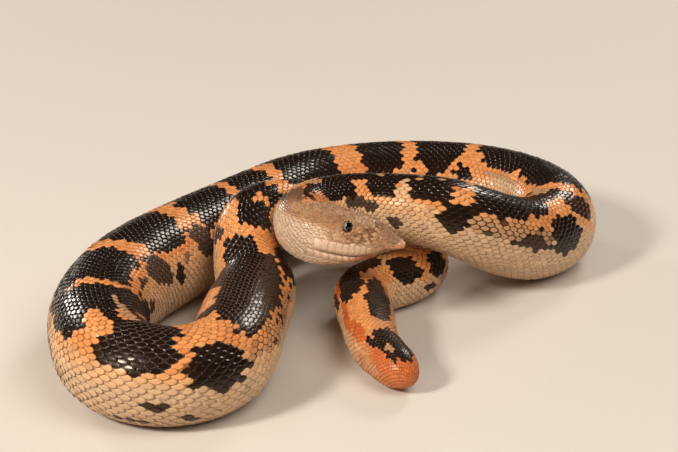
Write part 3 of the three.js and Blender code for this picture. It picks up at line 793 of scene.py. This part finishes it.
class BOA_PG_colours(bpy.types.PropertyGroup):
    orange: colour_property("Orange", "#E99757", "Ground colour of the back")
    deep: colour_property("Deep orange", "#D47A3A", "Patches in the ground colour")
    red: colour_property("Red orange", "#CF6830", "Ground colour of the tail")
    peach: colour_property("Peach", "#E3AE7C", "Upper flank")
    cream: colour_property("Cream", "#D6AF88", "Flank")
    belly: colour_property("Belly", "#CBA47F", "Underside")
    dark: colour_property("Black brown", "#1C1009", "Blotches")
    brown: colour_property("Brown", "#3A2013", "Edges of the blotches")
    grey: colour_property("Grey brown", "#4F3A30", "Flank blotches")
    # Pale free edges of dark scales: partly their own colour, partly a painted sheen.
    smoke: colour_property("Smoke", "#8E7059", "Faint flank marks")
    silver: colour_property("Silver", "#86756F", "Free edges of worn dark scales")
    tan: colour_property("Sand", "#BE8E66", "Head")
    umber: colour_property("Umber", "#7A573D", "Speckle of the head")
    lip: colour_property("Lip", "#E8C6A6", "Lips and throat")
    snout: colour_property("Snout", "#CB8B65", "Snout and chin shields")


class BOA_PG_scales(bpy.types.PropertyGroup):
    pitch: FloatProperty(name="Scale pitch", description="Spacing along a row at mid body, in millimetres",
                         default=1.82, min=1, max=4)
    spacing: FloatProperty(name="Row spacing", description="Spacing of the rows at mid body, in millimetres",
                           default=1.15, min=0.6, max=3)
    overlap: FloatProperty(name="Overlap", description="Length of a scale over its pitch", default=1.36,
                           min=1, max=2, subtype="FACTOR")
    thickness: FloatProperty(name="Thickness", description="How far a scale's tip stands off the skin",
                             default=0.135 * MM, min=0.05 * MM, max=0.4 * MM, subtype="DISTANCE",
                             unit="LENGTH")
    around: IntProperty(name="Skin columns", description="Faces round the skin", default=128, min=24, max=160)


class BOA_PG_stage(bpy.types.PropertyGroup):
    focal: FloatProperty(name="Focal length", description="Camera lens, in millimetres", default=111.504,
                         min=20, max=300, subtype="DISTANCE_CAMERA")
    pitch: FloatProperty(name="Camera pitch", description="How far the camera looks down",
                         default=math.radians(22), min=0.05, max=1.5, subtype="ANGLE", unit="ROTATION")
    floor: colour_property("Floor", "#D8CFC4", "Colour of the floor")
    key: FloatProperty(name="Key light", description="Power of the main light", default=4.1, min=0, max=100,
                       unit="POWER")


def tones_of(context):
    group = context.scene.boa_colours
    return {key: np.array(getattr(group, key)) for key in group.__annotations__}


# ---- pieces ----

FLESH = sorted(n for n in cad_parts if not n.startswith("eye"))


def skin_rings():
    """Places of the skin's rings: close together on the head and where the tail closes."""
    head = np.arange(0.3, NECK_START + HEAD_BLEND, 0.36)
    body = np.arange(head[-1] + 0.7, LENGTH - TAIL_ROUNDING, 1.0)
    tip = LENGTH - COAT_DEPTH - (LENGTH - COAT_DEPTH - body[-1]) * np.linspace(1, 0, 16)[1:] ** 2
    tip[-1] = LENGTH - COAT_DEPTH - 0.004
    return np.concatenate([head, body, tip])


def pitch_at(s, pitch):
    """Spacing of the scales along a row: fine on the face and at the tail's tip."""
    places = [0, 18, 26, 38, 64, 380, 470, LENGTH - 14, LENGTH]
    return pitch * np.interp(s, places, [0.45, 0.48, 0.55, 0.76, 0.96, 1, 0.86, 0.68, 0.36])


def spacing_at(s, spacing):
    """Spacing of the rows, in the same way."""
    places = [0, 18, 26, 40, 70, 110, 380, 450, LENGTH - 14, LENGTH]
    return spacing * np.interp(s, places, [0.5, 0.53, 0.6, 0.78, 0.92, 1, 0.98, 0.84, 0.64, 0.42])


VENTRAL_START = 27.0  # where the belly plates begin; the coat starts to leave room for them 5 mm earlier
LOOSE_SCALES = (15, 27)  # the rows break up on the head, and are in order from the second place on
KEEL_START, KEEL_REACH = 430, 70  # keeled scales: from this place on, to this angle each side of the crest
BACK_REACH, FLANK_REACH = 37, 92  # angles where the coat is split into pieces
# Where the lip plates meet, by distance back from the snout tip, and the gaps beside them and at the mouth.
UPPER_LIP = [7.0, 8.2, 9.5, 10.75, 12.0, 13.35, 14.7, 16.05, 17.35, 18.6]
LOWER_LIP = [2.7, 4.3, 5.9, 7.5, 9.1, 10.6, 12.0, 13.3, 14.6, 15.9, 17.2, 18.4, 19.6]
SIDE_GAP, MOUTH_GAP = 0.03, 0.07
EYE_RING = 11  # small scales round each eye


def ventral_half(s):
    """Half width of the belly plates, in millimetres."""
    radius = course_at(np.interp(s, DISTANCES, ROW_NUMBERS))[..., 3]
    places = [VENTRAL_START - 5, VENTRAL_START, 60, 470, 485, LENGTH]
    return radius * np.interp(s, places, [0, 0.2, 0.42, 0.42, 0.3, 0.2])


def rostral_back(lip):
    """How far back the snout shield reaches at each height over the mouth: long at the lip, short on top."""
    return 1.3 + 6.6 * (1 - smooth(lip, -0.6, 2.6))


def shielded(s, a):
    """Where the head carries a shield of its own in place of a small scale."""
    _, rise = section(s, a)
    lip = rise - mouth(s)
    side = np.abs(a) > 35
    upper = side & (lip > -0.1) & (lip < upper_lip(s)) & (s < UPPER_LIP[-1])
    lower = side & (lip < 0.1) & (lip > -lower_lip(s)) & (s < LOWER_LIP[-1])
    socket = np.hypot(s - EYE_BACK, rise - EYE_RISE) < 2.0
    snout = (s < rostral_back(lip) + 0.2) & (lip > -0.3)
    chin = (s < 2.6) & (lip < 0.3)
    nasal = (np.hypot(s - NOSTRIL[0], rise - NOSTRIL[1]) < 1.0) & side
    return upper | lower | (socket & side) | snout | chin | nasal


def upper_lip(s):
    """Height of the upper lip's plates."""
    return np.interp(s, [5, 7, 9, 12, 18, 19], [1.9, 2.6, 3.5, 3.8, 3.2, 2.6])


def lower_lip(s):
    """Height of the lower lip's plates."""
    return np.interp(s, [2, 6, 11, 14, 20], [0.8, 1.2, 1.6, 2.1, 2.3])


def seed_places(settings):
    """Every scale's place along the body and angle. Rows keep their spacing, so they thin out towards the
    ends by running down into the belly plates, and neighbouring rows are half a pitch apart."""
    places, angles, s, ring = [], [], 0.9, 0
    while s < LENGTH - 0.7:
        row = arc_row(s)
        reach = row[-1] - ventral_half(np.array(s))
        spacing = spacing_at(s, settings.spacing)
        lanes = np.arange(-int(reach / spacing), int(reach / spacing) + 1)
        lanes = lanes[(lanes + ring) % 2 == 0]
        arcs = lanes * spacing
        angles.append(np.sign(arcs) * np.interp(np.abs(arcs), row, ARC_ANGLES))
        places.append(np.full(len(lanes), s))
        s += pitch_at(s, settings.pitch) / 2
        ring += 1
    places, angles = np.concatenate(places), np.concatenate(angles)
    # On the head the rows break up.
    random = np.random.default_rng(7)
    loose = 1 - smooth(places, *LOOSE_SCALES)
    places = places + loose * random.normal(0, 0.13, len(places))
    angles = angles + loose * random.normal(0, 0.9, len(places))
    keep = ~shielded(places, angles) & (places > 0.5)
    return places[keep], angles[keep]


class BOA_OT_skin(bpy.types.Operator):
    """Make the one skin that runs from snout to tail tip"""

    bl_idname = "boa.skin"
    bl_label = "Skin"

    def execute(self, context):
        columns = context.scene.boa_scales.around
        rings = skin_rings()
        turn = np.linspace(-180, 180, columns, endpoint=False)
        s, a = np.meshgrid(rings, turn, indexing="ij")
        points = on_body(s, a).reshape(-1, 3)
        tips = [on_body(end, turn[None, :]).mean((0, 1)) for end in (rings[:1], rings[-1:])]
        points = np.vstack([points, tips])
        index = np.arange(len(rings) * columns).reshape(len(rings), columns)
        right = np.roll(index, -1, axis=1)
        quads = np.stack([index[:-1], right[:-1], right[1:], index[1:]], -1).reshape(-1, 4)
        caps = [(right[0, k], index[0, k], len(points) - 2) for k in range(columns)]
        caps += [(index[-1, k], right[-1, k], len(points) - 1) for k in range(columns)]
        faces = quads.tolist() + [tuple(int(i) for i in cap) for cap in caps]

        colour, _ = paint(s, a, tones_of(context), np.zeros(s.shape), 0.12)
        colour = colour.reshape(-1, 3)
        colour = np.vstack([colour, colour[:1], colour[-1:]])
        around = np.concatenate([turn, [180.0]])
        first = np.arange(len(rings) - 1)
        strip = strip_of(rings[:-1])
        corners = []
        for ds, dk in ((0, 0), (0, 1), (1, 1), (1, 0)):
            place = np.repeat(rings[first + ds][:, None], columns, 1)
            arc = arc_at(place, np.repeat(around[None, dk : dk + columns], len(first), 0))
            corners.append(unwrap(place, arc, strip[:, None]))
        uv = np.stack(corners, axis=2).reshape(-1, 2)
        cap_uv = []
        for end, order in ((rings[:1], (1, 0)), (rings[-1:], (0, 1))):
            spot = unwrap(end, np.zeros(1))[0]
            for k in range(columns):
                cap_uv += [unwrap(end, arc_at(end, around[k + d : k + d + 1]))[0] for d in order] + [spot]
        uv = np.concatenate([uv, cap_uv])
        layers = [("coat_colour", "FLOAT_COLOR", rgba(colour))]
        skin = new_object("skin", points, faces, layers, uv, soft_skin("reptile_skin"))
        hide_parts(*FLESH)
        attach(skin, "root")
        return {"FINISHED"}


class BOA_OT_scales(bpy.types.Operator):
    """Lay the coat of overlapping scales, split by side so that no piece is too heavy"""

    bl_idname = "boa.scales"
    bl_label = "Scales"

    def execute(self, context):
        settings, tones = context.scene.boa_scales, tones_of(context)
        s, a = seed_places(settings)
        random = np.random.default_rng(11)
        fine = np.clip(random.normal(0, 0.55, len(s)), -1.5, 1.5)
        along, out, stretch = directions(s, a)
        # Each scale leans its own way a little, so that the shine breaks up from scale to scale.
        loose = 1 - smooth(s, *LOOSE_SCALES)
        tilt =np.clip(random.normal(0, 0.035, (len(s), 3)), -0.06, 0.06) * (1 + 0.4 * loose[:, None])
        out = out + tilt
        out /= np.linalg.norm(out, axis=-1, keepdims=True)
        most = 1.3 + 0.3 * smooth(s, LENGTH - 8, LENGTH - 4)
        length = pitch_at(s, settings.pitch) * settings.overlap * np.clip(stretch, 0.62, most)
        width = spacing_at(s, settings.spacing) * 1.5
        vary = 1 + random.normal(0, 1, (len(s), 2)) * (0.05 + 0.07 * loose[:, None])
        closing = smooth(LENGTH - s, 0, 3) * 0.2 + 0.8
        small = np.interp(s, [20, 34, 440, 480, LENGTH - 10, LENGTH], [0.7, 1, 1, 0.6, 0.55, 0.35])
        spans = [length * vary[:, 0] * closing * MM, width * vary[:, 1] * closing * MM]
        size = np.column_stack([*spans, small])
        # Each scale is one colour, so blotches end in steps.
        colour, rim = paint(s, a, tones, fine, 0.0)
        shade = 1 + 0.07 * random.normal(0, 1, len(s))
        colour = np.clip(colour * shade[:, None], 0, 1)
        root_uv = unwrap(s, arc_at(s, a))
        root_uv = np.column_stack([root_uv, np.zeros(len(s))])
        form = ((s > KEEL_START) & (np.abs(a) < KEEL_REACH)).astype(int)
        points = on_body(s, a)
        smooth_scale, keeled_scale = scale_plate("scale_smooth", 0.0), scale_plate("scale_keeled", 0.12)
        tree = coat_tree()
        keratin = scale_keratin("scale_keratin", tones)
        side, angle = np.sign(a), np.abs(a)
        groups = {"scales_back": angle < BACK_REACH}
        for label, sign in (("left", 1), ("right", -1)):
            mine = (side == sign) & (angle >= BACK_REACH)
            groups["scales_flank_" + label] = mine & (angle < FLANK_REACH)
            groups["scales_low_" + label] = mine & (angle >= FLANK_REACH)
        values = {"out": out, "along": along, "size": size, "root_uv": root_uv, "form": form}
        for label, chosen in groups.items():
            layers = [("coat_colour", "FLOAT_COLOR", rgba(colour[chosen])),
                      ("coat_rim", "FLOAT", rim[chosen])]
            layers += [(key, kind, values[key][chosen]) for key, kind in SEED_LAYERS.items()]
            seeds = new_object("seeds_" + label, points[chosen], [], layers)
            piece = grow(seeds, tree, {
                "Smooth scale": smooth_scale, "Keeled scale": keeled_scale, "Thickness": settings.thickness,
                "Patch": PATCH, "Material": keratin,
            })
            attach(piece, "root")
        remove(smooth_scale, keeled_scale)
        return {"FINISHED"}


class BOA_OT_belly(bpy.types.Operator):
    """Lay the single row of wide plates under the body and the tail"""

    bl_idname = "boa.belly"
    bl_label = "Belly plates"

    def execute(self, context):
        tones = tones_of(context)
        random = np.random.default_rng(5)
        shells = Shells()
        s = VENTRAL_START
        u, v = np.meshgrid(np.linspace(0, 1, 5), np.linspace(-1, 1, 11), indexing="ij")
        while s < LENGTH - 2.0:
            length = 1.55 * pitch_at(s, context.scene.boa_scales.pitch)
            reach = ventral_half(np.array(s)) * 1.12
            row = arc_row(s)
            arcs = row[-1] - np.abs(v) * reach
            angles = np.where(v < 0, 1, -1) * np.interp(arcs, row, ARC_ANGLES)
            angles = np.where(angles < 0, angles + 360, angles)
            bow = 0.35 * v**4 * length
            place = s + u * length * 1.28 - bow
            height = -0.1 + 0.30 * u**0.8 - 0.12 * (u > 0.99) - 0.10 * (np.abs(v) > 0.99)
            colour = paint(np.array([s]), np.array([178.0]), tones, np.zeros(1), 0.1)[0][0]
            shells.add(place, angles, height, colour * (1 + 0.05 * random.normal()))
            s += length
        belly = shells.build("belly_plates", bpy.data.materials["scale_keratin"])
        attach(belly, "root")
        return {"FINISHED"}


def angle_of_rise(back, rise, side):
    """The angle from the crest of a point of the head's side at that height about the head's axis."""
    _, tall, upper, lower = girth(back)
    rise = rise + drop(back)
    power = np.where(rise > 0, upper, lower)
    share = np.clip(np.abs(rise) / tall, 0, 1) ** (power / 2)
    return side * np.degrees(np.arccos(np.sign(rise) * share))


def pillow(u, v, high, power=6):
    """Height of a plate over its own square: flat in the middle, and sunk at its rim."""
    return high * np.sqrt((1 - np.abs(u) ** power) * (1 - np.abs(v) ** power)) - 0.07


class BOA_OT_head(bpy.types.Operator):
    """Lay the shields of the head: snout and chin shields, lips, nostrils and the ring round each eye"""

    bl_idname = "boa.head"
    bl_label = "Head shields"

    def side_plate(self, shells, corners, side, tones, high, steps=6, tint=1.0):
        """A plate of the head's side with its corners at (back, rise), given round it. Its grid is turned
        round where it would face inwards."""
        u, v = np.meshgrid(np.linspace(-1, 1, steps), np.linspace(-1, 1, steps), indexing="ij")
        p, q = (u + 1) / 2, (v + 1) / 2
        a, b, c, d = (np.array(corner, float) for corner in corners)
        spot = ((1 - p) * (1 - q))[..., None] * a + (p * (1 - q))[..., None] * b
        spot = spot + (p * q)[..., None] * c + ((1 - p) * q)[..., None] * d
        back, rise = spot[..., 0], spot[..., 1]
        angles = angle_of_rise(back, rise, side)
        height = pillow(u, v, high, 4)
        middle = np.array([back.mean()]), np.array([angles.mean()])
        colour = paint(*middle, tones, np.zeros(1), 0.1)[0][0] * tint
        if (angles[0, -1] - angles[0, 0]) * (back[-1, 0] - back[0, 0]) < 0:
            back, angles, height = back[:, ::-1], angles[:, ::-1], height[:, ::-1]
        shells.add(back, angles, height, np.clip(colour, 0, 1))

    def execute(self, context):
        tones = tones_of(context)
        random = np.random.default_rng(3)
        shells = Shells()
        for side in (-1, 1):
            # upper lip: narrow, tall plates that lean forward as they rise
            for b0, b1 in zip(UPPER_LIP, UPPER_LIP[1:]):
                low0, low1 = mouth(b0) + MOUTH_GAP, mouth(b1) + MOUTH_GAP
                top = [m + upper_lip(b) - 0.2 + 0.25 * random.normal() for m, b in ((low0, b0), (low1, b1))]
                low = [(b0 + SIDE_GAP, low0), (b1 - SIDE_GAP, low1)]
                corners = [*low, (b1 - 0.35, top[1]), (b0 - 0.2, top[0])]
                self.side_plate(shells, corners, side, tones, high=0.24, tint=1 + 0.06 * random.normal())
            # lower lip: the same, and low under the snout
            for b0, b1 in zip(LOWER_LIP, LOWER_LIP[1:]):
                top0, top1 = mouth(b0) - MOUTH_GAP, mouth(b1) - MOUTH_GAP
                low = [m - lower_lip(b) + 0.1 + 0.08 * random.normal() for m, b in ((top0, b0), (top1, b1))]
                b0, b1 = b0 + SIDE_GAP, b1 - SIDE_GAP
                corners = [(b0, low[0]), (b1, low[1]), (b1, top1), (b0, top0)]
                self.side_plate(shells, corners, side, tones, high=0.22, tint=1 + 0.06 * random.normal())
            # ring round the eye
            for k in range(EYE_RING):
                t0, t1 = (2 * math.pi * (k + e) / EYE_RING for e in (0.03, 0.97))
                rim = [(EYE_BACK + r * math.cos(t), EYE_RISE + r * math.sin(t) * 0.95)
                       for r, t in ((0.98, t0), (1.95, t0), (1.95, t1), (0.98, t1))]
                rim = [(b, min(r, girth(np.array(b))[1] - 0.02)) for b, r in rim]
                self.side_plate(shells, rim, side, tones, high=0.36, steps=5, tint=1 + 0.06 * random.normal())
            # the two plates that share the nostril
            b, r = NOSTRIL
            for corners in ([(b - 0.95, r - 0.6), (b - 0.1, r - 0.7), (b - 0.1, r + 0.6), (b - 0.8, r + 0.4)],
                            [(b + 0.12, r - 0.7), (b + 1, r - 0.6), (b + 1, r + 0.7), (b + 0.12, r + 0.6)]):
                self.side_plate(shells, corners, side, tones, high=0.16)
        # The snout shield wraps the tip from lip to lip, pointed behind at each side, and the chin shield lies
        # under it behind the overhang.
        u, v = np.meshgrid(np.linspace(0, 1, 11), np.linspace(-1, 1, 29), indexing="ij")
        colour, tip = tones["snout"], 0.02
        place = tip + u * (rostral_back(3.4 * (1 - np.abs(v))) - tip)
        limit = angle_of_rise(place, mouth(place) + MOUTH_GAP, 1)
        height = pillow(u, v, 0.12) * smooth(place, -0.5, 3.0)
        shells.add(place, v * limit, height, colour, rim=-1.0, front=0.0)
        # a small dome closes the shield's open front end
        q, p = np.meshgrid(np.linspace(-1, 1, 7), np.linspace(1, -1, 11), indexing="ij")
        across, rise = p * np.sqrt(1 - q**2 / 2), q * np.sqrt(1 - p**2 / 2)
        centre, _, forward, side, up = station(np.array(0.0))
        dome = centre + 1.35 * across[..., None] * side + (0.45 * rise[..., None] - drop(0.0)) * up
        depth = (0.02 + 0.26 * (across**2 + rise**2) ** 2)[..., None]
        shells.close(dome + depth * forward, dome + (depth + 0.25) * forward, tip, 0.0, colour, front=0.0)
        place = 0.75 + u * 1.8
        limit = angle_of_rise(place, mouth(place) - MOUTH_GAP, 1)
        shells.add(place, 180 + v * (180 - limit), pillow(u, v, 0.18), colour)
        shields = shells.build("head_shields", bpy.data.materials["scale_keratin"])
        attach(shields, "root")
        return {"FINISHED"}


class BOA_OT_eyes(bpy.types.Operator):
    """Make both eyes, each a ball in its socket that looks straight out of the head"""

    bl_idname = "boa.eyes"
    bl_label = "Eyes"

    def execute(self, context):
        material = wet_eye("eye_cornea")
        _, _, forward, side, up = station(np.array(EYE_BACK))
        rings, columns = 17, 32
        lat = np.linspace(0, math.pi, rings)[1:-1]
        lon = np.linspace(0, 2 * math.pi, columns, endpoint=False)
        t, p = np.meshgrid(lat, lon, indexing="ij")
        unit = np.stack([np.sin(t) * np.cos(p), np.sin(t) * np.sin(p), np.cos(t)], -1).reshape(-1, 3)
        unit = np.vstack([unit, [(0, 0, 1), (0, 0, -1)]])
        n = (rings - 2) * columns
        faces = []
        for k in range(columns):
            j = (k + 1) % columns
            for i in range(rings - 3):
                row = i * columns
                faces.append((row + k, row + columns + k, row + columns + j, row + j))
            faces += [(n, k, j), (n + 1, n - columns + j, n - columns + k)]
        for name, sign in (("eye_left", 1), ("eye_right", -1)):
            low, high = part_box(name)
            middle = np.array((low + high) / 2) / MM
            # The ball's x points to the snout and its z out of the head, tipped a little up and forward. The
            # look of the right eye is mirrored.
            out = sign * side + 0.25 * up - 0.12 * forward
            out /= np.linalg.norm(out)
            nose = -forward + out * np.dot(forward, out)
            nose /= np.linalg.norm(nose)
            points = middle + unit @ np.array([nose, np.cross(out, nose), out]) * EYE_RADIUS
            look = ("look", "FLOAT_VECTOR", unit * (1, sign, 1))
            eye = new_object("eyeball_" + name[4:], points, faces, [look], material=material)
            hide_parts(name)
            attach(eye, "root")
        return {"FINISHED"}


FLOOR_REACH = 3000  # half the floor's side
CAMERA_PLACE = (0.22, -458.98, 206.67)
SENSOR = 36  # width of the camera's sensor, in millimetres
# Lights: name, place in metres, size, share of the key's power, and colour. The key comes from the left, with
# a soft light over the right that casts no reflection, and one from behind at each side, whose small
# reflections show the gloss of the dark scales.
LIGHTS = [
    ("key", (-0.45, -0.37, 0.42), 0.12, 1.0, "#FFF9F0"),
    ("soft", (0.30, -0.30, 0.58), 0.50, 0.70, "#FFF9F1"),
    ("back_left", (-0.445, 0.53, 0.20), 0.12, 0.3, "#FFFAF3"),
    ("back_right", (0.30, 0.52, 0.40), 0.16, 0.32, "#FFFAF3"),
]
SKY, SKY_STRENGTH = "#FFF7EC", 0.2


class BOA_OT_stage(bpy.types.Operator):
    """Set up the floor, the soft studio lights and the camera"""

    bl_idname = "boa.stage"
    bl_label = "Stage"

    def execute(self, context):
        scene, settings = context.scene, context.scene.boa_stage
        board = studio_floor("painted_board", tuple(settings.floor))
        corners = [(FLOOR_REACH * x, FLOOR_REACH * y, 0) for x, y in ((-1, -1), (1, -1), (1, 1), (-1, 1))]
        floor = new_object("floor", corners, [(0, 1, 2, 3)], material=board)

        camera = bpy.data.objects.new("camera", bpy.data.cameras.new("camera"))
        camera.data.lens = settings.focal
        camera.data.sensor_width = SENSOR
        camera.location = Vector(CAMERA_PLACE) * MM
        camera.rotation_euler = (math.pi / 2 - settings.pitch, 0, 0)
        camera.data.clip_start, camera.data.clip_end = 0.01, 20
        scene.collection.objects.link(camera)
        scene.camera = camera

        aim = Vector((0, 0, 0.01))
        for name, place, size, share, tint in LIGHTS:
            lamp = bpy.data.lights.new(name, "AREA")
            lamp.energy, lamp.size, lamp.color = settings.key * share, size, linear(tint)
            holder = bpy.data.objects.new(name, lamp)
            holder.visible_glossy = name != "soft"
            holder.location = place
            holder.rotation_euler = (aim - Vector(place)).to_track_quat("-Z", "Y").to_euler()
            scene.collection.objects.link(holder)
        world = bpy.data.worlds.new("studio")
        world.use_nodes = True
        world.node_tree.nodes.clear()
        world.cycles_visibility.glossy = False
        sky = add(world.node_tree, "ShaderNodeBackground", {0: (*linear(SKY), 1), 1: SKY_STRENGTH}, 0)
        add(world.node_tree, "ShaderNodeOutputWorld", {0: sky})
        scene.world = world
        scene.view_settings.view_transform = "Standard"
        return {"FINISHED"}


class BOA_PT_panel(bpy.types.Panel):
    """Lists the boa's sizes, colours and pieces"""

    bl_label = "Coiled sand boa"
    bl_idname = "BOA_PT_panel"
    bl_space_type = "VIEW_3D"
    bl_region_type = "UI"
    bl_category = "Boa"

    def draw(self, context):
        for group in ("boa_scales", "boa_colours", "boa_stage"):
            box = self.layout.box()
            settings = getattr(context.scene, group)
            for key in settings.__annotations__:
                box.prop(settings, key)
        for operator in OPERATORS:
            self.layout.operator(operator.bl_idname)


GROUPS = {"boa_colours": BOA_PG_colours, "boa_scales": BOA_PG_scales, "boa_stage": BOA_PG_stage}
OPERATORS = [BOA_OT_skin, BOA_OT_scales, BOA_OT_belly, BOA_OT_head, BOA_OT_eyes, BOA_OT_stage]


def register():
    for c in [*GROUPS.values(), *OPERATORS, BOA_PT_panel]:
        bpy.utils.register_class(c)
    for key, group in GROUPS.items():
        setattr(bpy.types.Scene, key, PointerProperty(type=group))


def unregister():
    for key in GROUPS:
        delattr(bpy.types.Scene, key)
    for c in reversed([*GROUPS.values(), *OPERATORS, BOA_PT_panel]):
        bpy.utils.unregister_class(c)


def main():
    register()
    for operator in ("skin", "scales", "belly", "head", "eyes", "stage"):
        getattr(bpy.ops.boa, operator)()


if __name__ == "__main__":
    main()
